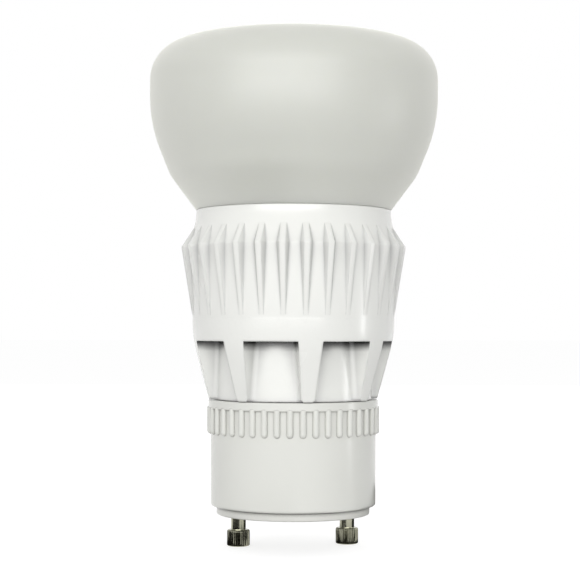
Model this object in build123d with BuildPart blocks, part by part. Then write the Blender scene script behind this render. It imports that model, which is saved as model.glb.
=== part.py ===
from math import asin, cos, degrees, radians, sin, sqrt

from build123d import *
import os

# LED A-shape lamp on a two-pin twist-lock base, base down, in millimetres.
# +Z runs up the lamp's axis. The origin is the middle of the base plate's lower face,
# and the two pins stand on the X axis.

# Contact pins
PIN_SPACING = 24.0
PIN_HEAD_DIAMETER = 4.95
PIN_HEAD_LENGTH = 3.6
PIN_HEAD_ROUND = 0.4
KNURL_COUNT = 36
KNURL_DEPTH = 0.15
PIN_SHANK_DIAMETER = 3.2
PIN_SHANK_LENGTH = 3.3
PIN_NECK_DIAMETER = 2.4
PIN_CLEARANCE = 0.05

# Base plate, seated in the mouth of the housing
PLATE_DIAMETER = 33.3
PLATE_THICKNESS = 4.0
PLATE_STANDOUT = 1.85
PLATE_EDGE_ROUND = 0.3
PLATE_CLEARANCE = 0.1

# Base housing, with its wall thicknesses at the plate and at the sink's spigot
HOUSING_HEIGHT = 22.97
HOUSING_LIP = 1.18
HOUSING_FOOT_ROUND = 0.5
HOUSING_DRAFT = 0.1
HOUSING_WALL = 2.93
RIM_STANDOUT = 0.5
RIM_HEIGHT = 1.85
RIM_EDGE = 0.2

# Grip ribs round the housing, under its rim
RIB_COUNT = 42
RIB_LEAD_ANGLE = 1.1
RIB_WIDTH = 1.3
RIB_STANDOUT = 0.75
RIB_LENGTH = 5.5
RIB_LAP = 0.35

# Heat sink: spigot in the housing, core, legs and band
SPIGOT_LENGTH = 4.0
SPIGOT_CLEARANCE = 0.1
FOOT_SEAM = 0.12
BAND_DIAMETER = 44.0
BAND_WALL = 2.0
CHANNEL_GAP = 3.0
CHANNEL_DEPTH = 9.0
LEG_COUNT = 8
LEG_FOOT_DEPTH = 1.5
LEG_FOOT_WIDTH = 3.0
LEG_FOOT_BEVEL = 0.5
LEG_TOP_WIDTH = 5.2
WINDOW_HEIGHT = 12.65
POCKET_CORNER_RADIUS = 1.0
KNEE_HEIGHT = 13.4
KNEE_RADIUS = 30.0

# Heat sink: fins, and the neck that takes the globe
FIN_COUNT = 30
FIN_LEAD_ANGLE = -45.0
FIN_FOOT_HEIGHT = 17.6
FIN_LENGTH = 15.46
FIN_TOP_LENGTH = 4.05
FIN_STANDOUT = 2.43
FIN_CREST_WIDTH = 1.25
FIN_TIP_WIDTH = 0.9
FIN_TIP_SINK = 0.05
GROOVE_FLARE = 1.0
FIN_SIDE_SLOPE = 0.5
FIN_ROOT_DEPTH = 1.5
COLLAR_STANDOUT = 0.55
NECK_LENGTH = 3.85
NECK_WALL = 1.6
SEAT_DIAMETER = 39.0
SEAT_DEPTH = 3.0
SEAT_CLEARANCE = 0.1
NECK_SEAM = 0.05

# Diffuser globe, with its heights above the neck
GLOBE_DIAMETER = 62.6
HIP_HEIGHT = 7.53
HIP_INSET = 4.45
HIP_RADIUS = 10.0
FLANK_TOP_HEIGHT = 18.57
FLANK_TOP_RADIUS = 30.8
WALL_TOP_HEIGHT = 28.18
SHOULDER_RADIUS = 8.1
SHOULDER_ANGLE = 74.1
CROWN_EDGE_RADIUS = 13.3
CROWN_EDGE_ANGLE = 11.7

# Levels and radii worked out from the sizes above
housing_foot_z = PLATE_STANDOUT
housing_top_z = housing_foot_z + HOUSING_HEIGHT
rim_foot_z = housing_top_z - RIM_HEIGHT
sink_foot_z = housing_top_z + FOOT_SEAM
spigot_foot_z = sink_foot_z - SPIGOT_LENGTH
window_top_z = sink_foot_z + WINDOW_HEIGHT
knee_z = sink_foot_z + KNEE_HEIGHT
fin_foot_z = sink_foot_z + FIN_FOOT_HEIGHT
fin_shoulder_z = fin_foot_z + FIN_LENGTH
fin_top_z = fin_shoulder_z + FIN_TOP_LENGTH
neck_top_z = fin_top_z + NECK_LENGTH
seat_floor_z = neck_top_z - SEAT_DEPTH
globe_foot_z = neck_top_z + NECK_SEAM
plate_seat_radius = PLATE_DIAMETER / 2 + PLATE_CLEARANCE
housing_foot_radius = plate_seat_radius + HOUSING_LIP
housing_top_radius = housing_foot_radius + HOUSING_DRAFT
rim_radius = housing_top_radius + RIM_STANDOUT
spigot_seat_radius = housing_top_radius - HOUSING_WALL
spigot_radius = spigot_seat_radius - SPIGOT_CLEARANCE
band_radius = BAND_DIAMETER / 2
channel_radius = band_radius - BAND_WALL
core_radius = channel_radius - CHANNEL_GAP
leg_foot_radius = core_radius + LEG_FOOT_DEPTH
groove_radius = band_radius + GROOVE_FLARE
fin_shoulder_radius = band_radius + FIN_STANDOUT
seat_radius = SEAT_DIAMETER / 2 + SEAT_CLEARANCE
neck_radius = seat_radius + NECK_WALL
collar_radius = neck_radius + COLLAR_STANDOUT
globe_radius = GLOBE_DIAMETER / 2

os.makedirs("parts", exist_ok=True)


# Contact pins: one turned piece each, with a knurled head to lock in the socket and a thin neck in the plate
for pin_name, pin_x in (("pin_left", -PIN_SPACING / 2), ("pin_right", PIN_SPACING / 2)):
    head_top_z = -PIN_SHANK_LENGTH
    head_foot_z = head_top_z - PIN_HEAD_LENGTH
    pin_axis = Axis((pin_x, 0, 0), (0, 0, 1))
    with BuildPart() as pin:
        with BuildSketch(Plane.XZ) as pin_section:
            with BuildLine():
                Polyline(
                    (pin_x, head_foot_z),
                    (pin_x + PIN_HEAD_DIAMETER / 2, head_foot_z),
                    (pin_x + PIN_HEAD_DIAMETER / 2, head_top_z),
                    (pin_x + PIN_SHANK_DIAMETER / 2, head_top_z),
                    (pin_x + PIN_SHANK_DIAMETER / 2, 0),
                    (pin_x + PIN_NECK_DIAMETER / 2, 0),
                    (pin_x + PIN_NECK_DIAMETER / 2, PLATE_THICKNESS),
                    (pin_x, PLATE_THICKNESS),
                    close=True,
                )
            make_face()
            fillet(pin_section.vertices().group_by(Axis.X)[-1], PIN_HEAD_ROUND)
        revolve(axis=pin_axis)
        with BuildSketch(Plane.XY.offset(head_foot_z)):
            with Locations((pin_x, 0)):
                with PolarLocations(PIN_HEAD_DIAMETER / 2, KNURL_COUNT):
                    Rectangle(KNURL_DEPTH * sqrt(2), KNURL_DEPTH * sqrt(2), rotation=45)
        extrude(amount=PIN_HEAD_LENGTH, mode=Mode.SUBTRACT)
    pin.part.label = pin_name
    export_step(pin.part, f"parts/{pin_name}.step")


# Base plate: a disc with a hole for the neck of each pin
with BuildPart() as base_plate:
    with BuildSketch():
        Circle(PLATE_DIAMETER / 2)
        with GridLocations(PIN_SPACING, 0, 2, 1):
            Circle(PIN_NECK_DIAMETER / 2 + PIN_CLEARANCE, mode=Mode.SUBTRACT)
    extrude(amount=PLATE_THICKNESS)
    plate_rim = base_plate.edges().filter_by(GeomType.CIRCLE).group_by(Axis.Z)[0].sort_by(SortBy.RADIUS)[-1]
    fillet(plate_rim, PLATE_EDGE_ROUND)
base_plate.part.label = "base_plate"
export_step(base_plate.part, "parts/base_plate.step")


# One grip rib: a round upright sunk half its width in the housing's wall, with a round nose at its foot
rib_half = RIB_WIDTH / 2
rib_axis_radius = housing_top_radius + RIB_STANDOUT - rib_half
rib_foot_z = rim_foot_z - RIB_LENGTH
rib_top_z = rim_foot_z + RIB_LAP
with BuildPart() as grip_rib:
    with BuildSketch(Plane.XZ):
        with BuildLine():
            nose = CenterArc((rib_axis_radius, rib_foot_z + rib_half), rib_half, 270, 90)
            Polyline(
                nose @ 1,
                (rib_axis_radius + rib_half, rib_top_z),
                (rib_axis_radius, rib_top_z),
                nose @ 0,
            )
        make_face()
    revolve(axis=Axis((rib_axis_radius, 0, 0), (0, 0, 1)))


# Base housing: a drafted cup with a rim on top, grip ribs under the rim and a seat at each end
with BuildPart() as base_housing:
    with BuildSketch(Plane.XZ) as housing_section:
        with BuildLine():
            Polyline(
                (0, PLATE_THICKNESS),
                (plate_seat_radius, PLATE_THICKNESS),
                (plate_seat_radius, housing_foot_z),
                (housing_foot_radius, housing_foot_z),
                (housing_top_radius, rim_foot_z),
                (rim_radius, rim_foot_z),
                (rim_radius, housing_top_z),
                (spigot_seat_radius, housing_top_z),
                (spigot_seat_radius, spigot_foot_z),
                (0, spigot_foot_z),
                close=True,
            )
        make_face()
        foot_corner = housing_section.vertices().group_by(Axis.Y)[0].sort_by(Axis.X)[-1]
        fillet(foot_corner, HOUSING_FOOT_ROUND)
        rim_corners = housing_section.vertices().group_by(Axis.X)[-1]
        chamfer(rim_corners, RIM_EDGE)
    revolve(axis=Axis.Z)
    with PolarLocations(0, RIB_COUNT, start_angle=RIB_LEAD_ANGLE):
        add(grip_rib.part)
base_housing.part.label = "base_housing"
export_step(base_housing.part, "parts/base_housing.step")


def pocket_section(height, leg_width, outer_radius):
    """Section of the pocket between two legs, centred on +X, with round corners against the core."""
    leg_angle = 180 / LEG_COUNT
    inner_angle = leg_angle - degrees(asin(leg_width / 2 / core_radius))
    outer_angle = leg_angle - degrees(asin(leg_width / 2 / outer_radius))
    with BuildSketch(Plane.XY.offset(height)) as section:
        with BuildLine():
            core_side = CenterArc((0, 0), core_radius, -inner_angle, 2 * inner_angle)
            open_side = CenterArc((0, 0), outer_radius, -outer_angle, 2 * outer_angle)
            Line(core_side @ 0, open_side @ 0)
            Line(core_side @ 1, open_side @ 1)
        make_face()
        fillet(section.vertices().sort_by_distance((0, 0))[:2], POCKET_CORNER_RADIUS)
    return section.sketch


# One pocket of the heat sink: a window between two legs, and a blind channel up behind the band
window_foot = pocket_section(sink_foot_z, LEG_FOOT_WIDTH - 2 * LEG_FOOT_BEVEL, fin_shoulder_radius)
window_sill = pocket_section(sink_foot_z + LEG_FOOT_BEVEL, LEG_FOOT_WIDTH, fin_shoulder_radius)
window_top = pocket_section(window_top_z, LEG_TOP_WIDTH, fin_shoulder_radius)
channel_mouth = pocket_section(window_top_z, LEG_TOP_WIDTH, channel_radius)
with BuildPart() as pocket:
    loft(sections=[window_foot, window_sill, window_top], ruled=True)
    extrude(channel_mouth, amount=CHANNEL_DEPTH)


# One fin: a blade that rises from a tip on the band to its shoulder, then slopes in to the collar
fin_tip_radius = band_radius - FIN_TIP_SINK
fin_root_radius = collar_radius - FIN_ROOT_DEPTH


def fin_section(height, crest_radius, crest_width):
    """Section of the fin, with sides that spread a little from its flat crest to its root inside the casting."""
    crest_half = crest_width / 2
    root_half = crest_half + FIN_SIDE_SLOPE * (crest_radius - fin_root_radius)
    with BuildSketch(Plane.XY.offset(height)) as section:
        with BuildLine():
            Polyline(
                (fin_root_radius, -root_half),
                (crest_radius, -crest_half),
                (crest_radius, crest_half),
                (fin_root_radius, root_half),
                close=True,
            )
        make_face()
    return section.sketch


fin_tip = fin_section(fin_foot_z, fin_tip_radius, FIN_TIP_WIDTH)
fin_shoulder = fin_section(fin_shoulder_z, fin_shoulder_radius, FIN_CREST_WIDTH)
fin_top = fin_section(fin_top_z, collar_radius, FIN_CREST_WIDTH)
with BuildPart() as fin:
    loft(sections=[fin_tip, fin_shoulder, fin_top], ruled=True)


# Heat sink: one casting, from the spigot in the housing to the seat of the globe
with BuildPart() as heat_sink:
    with BuildSketch(Plane.XZ) as sink_section:
        with BuildLine():
            Polyline(
                (0, seat_floor_z),
                (0, spigot_foot_z),
                (spigot_radius, spigot_foot_z),
                (spigot_radius, sink_foot_z),
                (leg_foot_radius, sink_foot_z),
                (band_radius, knee_z),
                (band_radius, fin_foot_z),
                (groove_radius, fin_shoulder_z),
                (collar_radius, fin_top_z),
            )
            TangentArc((neck_radius, neck_top_z), (collar_radius, fin_top_z), tangent=(0, -1))
            Polyline(
                (neck_radius, neck_top_z),
                (seat_radius, neck_top_z),
                (seat_radius, seat_floor_z),
                (0, seat_floor_z),
            )
        make_face()
        knee = sink_section.vertices().sort_by_distance((band_radius, knee_z))[0]
        fillet(knee, KNEE_RADIUS)
    revolve(axis=Axis.Z)
    with PolarLocations(0, LEG_COUNT, start_angle=180 / LEG_COUNT):
        add(pocket.part, mode=Mode.SUBTRACT)
    with PolarLocations(0, FIN_COUNT, start_angle=FIN_LEAD_ANGLE):
        add(fin.part)
heat_sink.part.label = "heat_sink"
export_step(heat_sink.part, "parts/heat_sink.step")


# Diffuser: a bowl-shaped globe with a near-flat crown, sealed to the heat sink by a spigot
crown_angle = radians(SHOULDER_ANGLE + CROWN_EDGE_ANGLE)
with BuildPart() as diffuser:
    with BuildSketch(Plane.XZ) as globe_section:
        with BuildLine():
            wall_top = (globe_radius, globe_foot_z + WALL_TOP_HEIGHT)
            flank_top = (globe_radius, globe_foot_z + FLANK_TOP_HEIGHT)
            hip = (globe_radius - HIP_INSET, globe_foot_z + HIP_HEIGHT)
            shoulder = JernArc(wall_top, (0, 1), SHOULDER_RADIUS, SHOULDER_ANGLE)
            crown_edge = JernArc(shoulder @ 1, shoulder % 1, CROWN_EDGE_RADIUS, CROWN_EDGE_ANGLE)
            crown_start = crown_edge @ 1
            crown_radius = crown_start.X / cos(crown_angle)
            crown_top = (0, crown_start.Y + crown_radius * (1 - sin(crown_angle)))
            TangentArc(crown_start, crown_top, tangent=crown_edge % 1)
            Polyline(
                crown_top,
                (0, seat_floor_z),
                (SEAT_DIAMETER / 2, seat_floor_z),
                (SEAT_DIAMETER / 2, globe_foot_z),
                (neck_radius, globe_foot_z),
                hip,
                flank_top,
                wall_top,
            )
        make_face()
        flank_corner = globe_section.vertices().sort_by_distance(flank_top)[0]
        fillet(flank_corner, FLANK_TOP_RADIUS)
        hip_corner = globe_section.vertices().sort_by_distance(hip)[0]
        fillet(hip_corner, HIP_RADIUS)
    revolve(axis=Axis.Z)
diffuser.part.label = "diffuser"
export_step(diffuser.part, "parts/diffuser.step")
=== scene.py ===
import math

import bpy
import bmesh
import mathutils
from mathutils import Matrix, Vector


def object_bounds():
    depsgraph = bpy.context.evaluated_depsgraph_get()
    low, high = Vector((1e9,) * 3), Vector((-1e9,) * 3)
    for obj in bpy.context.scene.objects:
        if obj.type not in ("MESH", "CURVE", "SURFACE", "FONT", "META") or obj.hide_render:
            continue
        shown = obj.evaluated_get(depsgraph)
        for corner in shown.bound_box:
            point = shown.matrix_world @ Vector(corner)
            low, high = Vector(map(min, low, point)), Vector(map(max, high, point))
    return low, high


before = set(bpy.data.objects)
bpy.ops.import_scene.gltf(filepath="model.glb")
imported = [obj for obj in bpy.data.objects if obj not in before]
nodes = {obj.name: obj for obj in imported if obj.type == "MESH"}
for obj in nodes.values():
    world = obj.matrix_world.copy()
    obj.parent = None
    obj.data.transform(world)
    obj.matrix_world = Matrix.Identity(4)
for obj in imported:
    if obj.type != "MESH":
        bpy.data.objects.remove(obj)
cad_low, cad_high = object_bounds()
scene = bpy.context.scene


# Base plate
# A thick moulded disc that closes the mouth of the housing and carries the two contact pins.
# White plastic, a little less glossy than the housing round it.
def connect(tree, value, socket):
    """Feeds a socket: another node's output is linked to it, and a plain value is written in it."""
    if isinstance(value, bpy.types.NodeSocket):
        tree.links.new(value, socket)
    else:
        socket.default_value = value


def set_inputs(tree, node, **inputs):
    """Feeds some inputs of a node by socket name, with _ for a space."""
    for socket_name, value in inputs.items():
        connect(tree, value, node.inputs[socket_name.replace("_", " ")])


def add_node(tree, kind, **inputs):
    """A node of that kind, with some of its inputs fed."""
    node = tree.nodes.new(kind)
    set_inputs(tree, node, **inputs)
    return node


def mix_tones(tree, factor, tone_at_0, tone_at_1):
    """Mixes two tones, through the places that a Mix node gives its colour sockets."""
    colour_at_0 = 6
    colour_at_1 = 7
    mixed_colour = 2
    mix = tree.nodes.new("ShaderNodeMix")
    mix.data_type = "RGBA"
    set_inputs(tree, mix, Factor=factor)
    connect(tree, tone_at_0, mix.inputs[colour_at_0])
    connect(tree, tone_at_1, mix.inputs[colour_at_1])
    return mix.outputs[mixed_colour]


def new_group(name, inputs, outputs):
    """An empty node group with these sockets, each given as its name and type."""
    group = bpy.data.node_groups.new(name, "ShaderNodeTree")
    for direction, sockets in (("INPUT", inputs), ("OUTPUT", outputs)):
        for socket_name, kind in sockets.items():
            group.interface.new_socket(socket_name, in_out=direction, socket_type="NodeSocket" + kind)
    given = group.nodes.new("NodeGroupInput").outputs
    result = group.nodes.new("NodeGroupOutput")
    return group, given, result


def make_mottle_group():
    """Faint clouds of tone and gloss, as moulded plastic and sprayed paint have, and a fine surface grain."""
    group, given, result = new_group(
        "surface_mottle",
        inputs={
            "Place": "Vector",
            "Light Tone": "Color",
            "Dark Tone": "Color",
            "Cloud Scale": "Float",
            "Grain Scale": "Float",
            "Smoothest": "Float",
            "Roughest": "Float",
        },
        outputs={"Color": "Color", "Roughness": "Float", "Grain": "Float"},
    )
    cloud = add_node(
        group, "ShaderNodeTexNoise", Vector=given["Place"], Scale=given["Cloud Scale"], Detail=3.0
    )
    grain = add_node(
        group, "ShaderNodeTexNoise", Vector=given["Place"], Scale=given["Grain Scale"], Detail=2.0
    )
    tone = mix_tones(group, cloud.outputs["Fac"], given["Dark Tone"], given["Light Tone"])
    gloss = add_node(
        group, "ShaderNodeMapRange",
        Value=cloud.outputs["Fac"], To_Min=given["Smoothest"], To_Max=given["Roughest"],
    )
    set_inputs(group, result, Color=tone, Roughness=gloss.outputs["Result"], Grain=grain.outputs["Fac"])
    return group


def make_painted_shade_group():
    """Painted shade in corners and narrow gaps, where little light comes."""
    group, given, result = new_group(
        "painted_recess_shade",
        inputs={"Tone": "Color", "Recess Tone": "Color", "Reach": "Float", "Shut": "Float", "Open": "Float"},
        outputs={"Color": "Color"},
    )
    openness = add_node(group, "ShaderNodeAmbientOcclusion", Distance=given["Reach"])
    openness.samples = 16
    clear = add_node(
        group, "ShaderNodeMapRange",
        Value=openness.outputs["AO"], From_Min=given["Shut"], From_Max=given["Open"],
    )
    tone = mix_tones(group, clear.outputs["Result"], given["Recess Tone"], given["Tone"])
    set_inputs(group, result, Color=tone)
    return group


mottle_group = make_mottle_group()
painted_shade_group = make_painted_shade_group()


def add_group(tree, group, **inputs):
    """Places a node group in a material, with its inputs fed."""
    node = tree.nodes.new("ShaderNodeGroup")
    node.node_tree = group
    set_inputs(tree, node, **inputs)
    return node


def add_mottle(tree, shader, place, edge_radius, grain_depth, **values):
    """Gives a shader the mottle's tone, gloss and grain, with edges that catch light as rounded ones do."""
    mottle = add_group(tree, mottle_group, Place=place, **values)
    soft_edge = add_node(tree, "ShaderNodeBevel", Radius=edge_radius)
    soft_edge.samples = 6
    grain = add_node(
        tree, "ShaderNodeBump",
        Height=mottle.outputs["Grain"], Normal=soft_edge.outputs["Normal"], Distance=grain_depth,
    )
    tone = mottle.outputs["Color"]
    set_inputs(
        tree, shader,
        Base_Color=tone, Roughness=mottle.outputs["Roughness"], Normal=grain.outputs["Normal"],
    )
    return tone


def add_painted_shade(tree, shader, tone, **values):
    """Lays painted shade in corners over a shader's tone."""
    recess = add_group(tree, painted_shade_group, Tone=tone, **values)
    shaded_tone = recess.outputs["Color"]
    set_inputs(tree, shader, Base_Color=shaded_tone)
    return shaded_tone


def new_finish(name):
    """A material with its own Principled shader."""
    material = bpy.data.materials.new(name)
    material.use_nodes = True
    tree = material.node_tree
    return material, tree, tree.nodes["Principled BSDF"]


def find_place(tree):
    """The object coordinates that a finish's patterns read."""
    return add_node(tree, "ShaderNodeTexCoord").outputs["Object"]


def dress(node_name, material):
    """Puts a finish on a CAD node."""
    slots = nodes[node_name].data.materials
    slots.clear()
    slots.append(material)


plate_finish, tree, shader = new_finish("plate_plastic")
plate_tone = add_mottle(
    tree, shader, find_place(tree), edge_radius=0.0003, grain_depth=0.00002,
    Light_Tone=(0.80, 0.80, 0.76, 1), Dark_Tone=(0.76, 0.76, 0.72, 1),
    Cloud_Scale=90.0, Grain_Scale=2600.0, Smoothest=0.28, Roughest=0.36,
)
# Painted shade in the plate's corners, darkest in the groove under the housing's lip.
add_painted_shade(tree, shader, plate_tone, Recess_Tone=(0.08, 0.078, 0.07, 1), Reach=0.0015, Shut=0.55, Open=0.86)
dress("base_plate", plate_finish)


# Contact pins
# Two headed pins that lock in the lamp holder by a part turn. Turned from brass and nickel plated,
# riveted through the plate by their necks.
pin_finish, tree, shader = new_finish("pin_plating")
place = find_place(tree)
turning = add_node(tree, "ShaderNodeTexWave", Vector=place, Scale=2200.0, Distortion=1.5)
turning.bands_direction = "Z"
turning_marks = add_node(tree, "ShaderNodeBump", Height=turning.outputs["Fac"], Distance=0.0000015)
tarnish = add_node(tree, "ShaderNodeTexNoise", Vector=place, Scale=420.0, Detail=4.0)
plating_tone = add_node(tree, "ShaderNodeValToRGB", Fac=tarnish.outputs["Fac"])
dull_plating, bright_plating = plating_tone.color_ramp.elements
dull_plating.position = 0.3
dull_plating.color = (0.30, 0.295, 0.22, 1)
bright_plating.position = 0.7
bright_plating.color = (0.44, 0.435, 0.34, 1)
plating_gloss = add_node(tree, "ShaderNodeMapRange", Value=tarnish.outputs["Fac"], To_Min=0.07, To_Max=0.15)
set_inputs(
    tree, shader, Metallic=1.0, Base_Color=plating_tone.outputs["Color"],
    Roughness=plating_gloss.outputs["Result"], Normal=turning_marks.outputs["Normal"],
)
dress("pin_left", pin_finish)
dress("pin_right", pin_finish)


# Base housing
# The insulating cup that holds the driver, with a rim on top and a ring of ribs to grip for the twist.
# Injection moulded in glossy white plastic.
housing_finish, tree, shader = new_finish("housing_plastic")
housing_tone = add_mottle(
    tree, shader, find_place(tree), edge_radius=0.00025, grain_depth=0.00001,
    Light_Tone=(0.83, 0.835, 0.79, 1), Dark_Tone=(0.79, 0.795, 0.75, 1),
    Cloud_Scale=70.0, Grain_Scale=2200.0, Smoothest=0.15, Roughest=0.21,
)
# Painted shade in the housing's corners, round the ribs and under the rim.
add_painted_shade(tree, shader, housing_tone, Recess_Tone=(0.46, 0.455, 0.43, 1), Reach=0.0015, Shut=0.35, Open=0.85)
dress("base_housing", housing_finish)


# Heat sink
# One aluminium casting from the core and its eight legs up through the band and the fins to the neck.
# Sprayed gloss white, with the faint orange peel of thick paint.
def calculate(tree, operation, *values):
    """The result of a Math node for these values."""
    math_node = tree.nodes.new("ShaderNodeMath")
    math_node.operation = operation
    for value, socket in zip(values, math_node.inputs):
        connect(tree, value, socket)
    return math_node.outputs["Value"]


sink_finish, tree, shader = new_finish("sink_paint")
place = find_place(tree)
paint_tone = add_mottle(
    tree, shader, place, edge_radius=0.0007, grain_depth=0.00002,
    Light_Tone=(0.93, 0.935, 0.90, 1), Dark_Tone=(0.90, 0.905, 0.87, 1),
    Cloud_Scale=60.0, Grain_Scale=900.0, Smoothest=0.22, Roughest=0.3,
)
set_inputs(tree, shader, Coat_Weight=0.4, Coat_Roughness=0.15)
# Painted shade in the corners: pale at the foot, where the rim under them throws light back, greyest at the
# windows' tops, pale again at the foot of the fins, and deepening up the fins.
sink_foot = 0.0249
sink_rise = 0.0371
window_top_share = 0.34
fin_foot_share = 0.47
height = add_node(tree, "ShaderNodeSeparateXYZ", Vector=place).outputs["Z"]
height_share = add_node(
    tree, "ShaderNodeMapRange", Value=height, From_Min=sink_foot, From_Max=sink_foot + sink_rise
)
painted_corner_shade = add_node(tree, "ShaderNodeValToRGB", Fac=height_share.outputs["Result"])
painted_shade_steps = painted_corner_shade.color_ramp.elements
painted_shade_steps[0].color = (0.75, 0.75, 0.75, 1)
painted_shade_steps[1].color = (0.13, 0.13, 0.145, 1)
painted_shade_steps.new(window_top_share).color = (0.22, 0.22, 0.22, 1)
painted_shade_steps.new(fin_foot_share).color = (0.50, 0.50, 0.50, 1)
painted_corner_tone = add_painted_shade(
    tree, shader, paint_tone, Recess_Tone=painted_corner_shade.outputs["Color"], Reach=0.005, Shut=0.4, Open=0.9
)
# The windows run on up behind the band as blind channels. Their shadow is painted near black into the paint,
# in a band round the channels' height where the corners are most shut in.
channel_middle = 0.03959
dark_reach = 0.0023
shade_reach = 0.0042
off_middle = calculate(tree, "ABSOLUTE", calculate(tree, "SUBTRACT", height, channel_middle))
channel_shadow_band = add_node(
    tree, "ShaderNodeMapRange", Value=off_middle, From_Min=shade_reach, From_Max=dark_reach
)
painted_channel_shadow = mix_tones(tree, channel_shadow_band.outputs["Result"], painted_corner_tone, (0.015, 0.015, 0.013, 1))
add_painted_shade(tree, shader, painted_corner_tone, Recess_Tone=painted_channel_shadow, Reach=0.004, Shut=0.88, Open=0.99)
dress("heat_sink", sink_finish)


# Diffuser globe
# The frosted bowl over the light board, blown in milky polycarbonate with a fine satin outside.
# Its spigot is glued in the heat sink's neck.
globe_finish, tree, shader = new_finish("frosted_globe")
add_mottle(
    tree, shader, find_place(tree), edge_radius=0.0002, grain_depth=0.00002,
    Light_Tone=(0.69, 0.70, 0.65, 1), Dark_Tone=(0.66, 0.67, 0.62, 1),
    Cloud_Scale=40.0, Grain_Scale=3500.0, Smoothest=0.36, Roughest=0.42,
)
set_inputs(
    tree, shader, Specular_IOR_Level=0.8,
    Subsurface_Weight=0.5, Subsurface_Radius=(0.008, 0.008, 0.007), Subsurface_Scale=1.0,
    Sheen_Weight=1.0, Sheen_Roughness=0.6, Sheen_Tint=(1.0, 1.0, 0.93, 1),
)
dress("diffuser", globe_finish)


# Stage: a white floor that the pins stand on, under soft light
def find_sight(tree):
    """1 for rays that show the studio's white: the camera's, and those off gloss or through glass. Else 0."""
    rays = add_node(tree, "ShaderNodeLightPath").outputs
    gloss_or_glass = calculate(tree, "MAXIMUM", rays["Is Glossy Ray"], rays["Is Transmission Ray"])
    return calculate(tree, "MAXIMUM", rays["Is Camera Ray"], gloss_or_glass)


def add_stage_piece(name, shape, finish):
    """An object from a finished bmesh, with one material."""
    mesh = bpy.data.meshes.new(name)
    shape.to_mesh(mesh)
    shape.free()
    mesh.materials.append(finish)
    piece = bpy.data.objects.new(name, mesh)
    scene.collection.objects.link(piece)
    return piece


floor_reach = 6.0
floor_whiteness = 0.72
floor_finish, tree, shader = new_finish("floor_white")
floor_glow = calculate(tree, "MULTIPLY", find_sight(tree), floor_whiteness)
set_inputs(
    tree, shader, Base_Color=(0.52, 0.52, 0.52, 1), Roughness=0.9, Specular_IOR_Level=0.0,
    Emission_Color=(1, 1, 1, 1), Emission_Strength=floor_glow,
)
floor_shape = bmesh.new()
bmesh.ops.create_grid(floor_shape, x_segments=1, y_segments=1, size=floor_reach)
bmesh.ops.translate(floor_shape, verts=floor_shape.verts, vec=(0, 0, cad_low.z))
floor = add_stage_piece("floor", floor_shape, floor_finish)

# A dark card by the lamp's foot, at the left of the camera, and the same again behind. Only reflections
# show it, as plated pins mirror the dark side of a studio. Its corners are given across and ahead of the
# lamp's axis, as the camera sees them.
camera_turn = math.radians(9.6)
wide_card = (
    (-0.0115, -0.003), (-0.0095, 0.010), (-0.006, 0.016), (0.0, 0.025),
    (0.0, 0.12), (-0.08, 0.12), (-0.08, -0.003),
)
slim_card = ((-0.001, -0.003), (0.0125, -0.003), (0.0135, 0.024), (0.0005, 0.024))
card_lift = 0.0002
card_finish, tree, shader = new_finish("card_black")
set_inputs(tree, shader, Base_Color=(0.02, 0.02, 0.018, 1), Roughness=1.0, Specular_IOR_Level=0.0)
card_shape = bmesh.new()
for half_turn in (0, math.pi):
    card_turn = mathutils.Matrix.Rotation(half_turn - camera_turn, 3, "Z")
    for outline in (wide_card, slim_card):
        corners = [card_shape.verts.new((across, -ahead, cad_low.z + card_lift)) for across, ahead in outline]
        card_shape.faces.new(corners)
        bmesh.ops.rotate(card_shape, verts=corners, cent=(0, 0, 0), matrix=card_turn)
card = add_stage_piece("dark_card", card_shape, card_finish)
card.visible_camera = False
card.visible_diffuse = False
card.visible_shadow = False
card.visible_transmission = False

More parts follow.
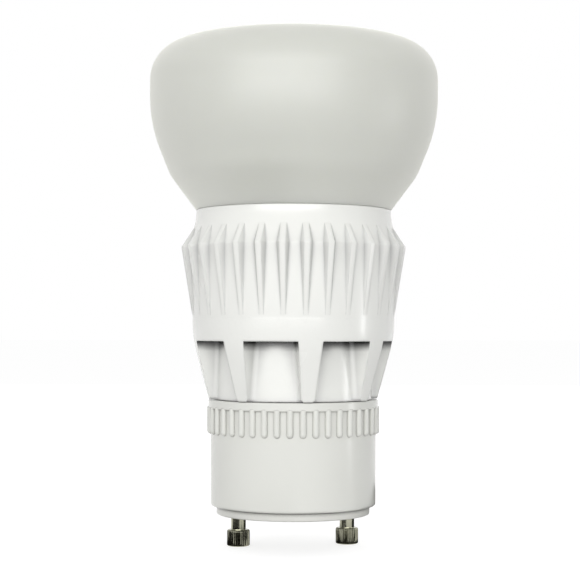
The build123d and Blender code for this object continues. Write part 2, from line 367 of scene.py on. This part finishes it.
# The studio's walls, lightest at the horizon
horizon_light = 0.7
zenith_light = 0.42
backdrop_white = 1.0
world = bpy.data.worlds.new("studio")
scene.world = world
world.use_nodes = True
tree = world.node_tree
direction = add_node(tree, "ShaderNodeTexCoord").outputs["Generated"]
upward = add_node(tree, "ShaderNodeSeparateXYZ", Vector=direction).outputs["Z"]
wall_light = add_node(tree, "ShaderNodeMapRange", Value=upward, To_Min=horizon_light, To_Max=zenith_light)
backdrop_light = add_node(
    tree, "ShaderNodeMapRange",
    Value=find_sight(tree), To_Min=wall_light.outputs["Result"], To_Max=backdrop_white,
)
set_inputs(tree, tree.nodes["Background"], Color=(1, 1, 1, 1), Strength=backdrop_light.outputs["Result"])


def place_light(name, turn, rise, distance, width, height, power):
    """A soft panel aimed at the lamp's middle, by its turn from the camera's side and its rise."""
    panel = bpy.data.lights.new(name, "AREA")
    panel.shape = "RECTANGLE"
    panel.size = width
    panel.size_y = height
    panel.energy = power
    light = bpy.data.objects.new(name, panel)
    scene.collection.objects.link(light)
    side = camera_turn + math.radians(turn)
    tilt = math.radians(rise)
    lamp_middle_z = (cad_low.z + cad_high.z) / 2
    light.location = (
        -math.sin(side) * math.cos(tilt) * distance,
        -math.cos(side) * math.cos(tilt) * distance,
        lamp_middle_z + math.sin(tilt) * distance,
    )
    light.rotation_euler = (math.pi / 2 - tilt, 0, -side)
    light.visible_camera = False
    return light


place_light("front_panel", turn=6, rise=8, distance=0.9, width=1.5, height=0.26, power=5.4)
back_panel = place_light("back_panel", turn=180, rise=20, distance=0.9, width=1.5, height=0.5, power=3.2)
back_panel.visible_glossy = False
gloss_strip = place_light("gloss_strip", turn=-82, rise=-2, distance=0.3, width=0.03, height=0.09, power=0.06)
gloss_strip.visible_diffuse = False

# Camera: level with the heat sink's band, with the picture's frame slid up
camera_distance = 0.3439
camera_height = 0.04024
camera_lean = -0.0023
camera_data = bpy.data.cameras.new("camera")
camera_data.sensor_width = 36.0
camera_data.lens = 97.76
camera_data.shift_x = -0.0059
camera_data.shift_y = 0.0666
camera = bpy.data.objects.new("camera", camera_data)
scene.collection.objects.link(camera)
camera.location = (
    -math.sin(camera_turn) * camera_distance,
    -math.cos(camera_turn) * camera_distance,
    camera_height,
)
camera.rotation_euler = (math.pi / 2, camera_lean, -camera_turn)
scene.camera = camera

scene.view_settings.view_transform = "Standard"
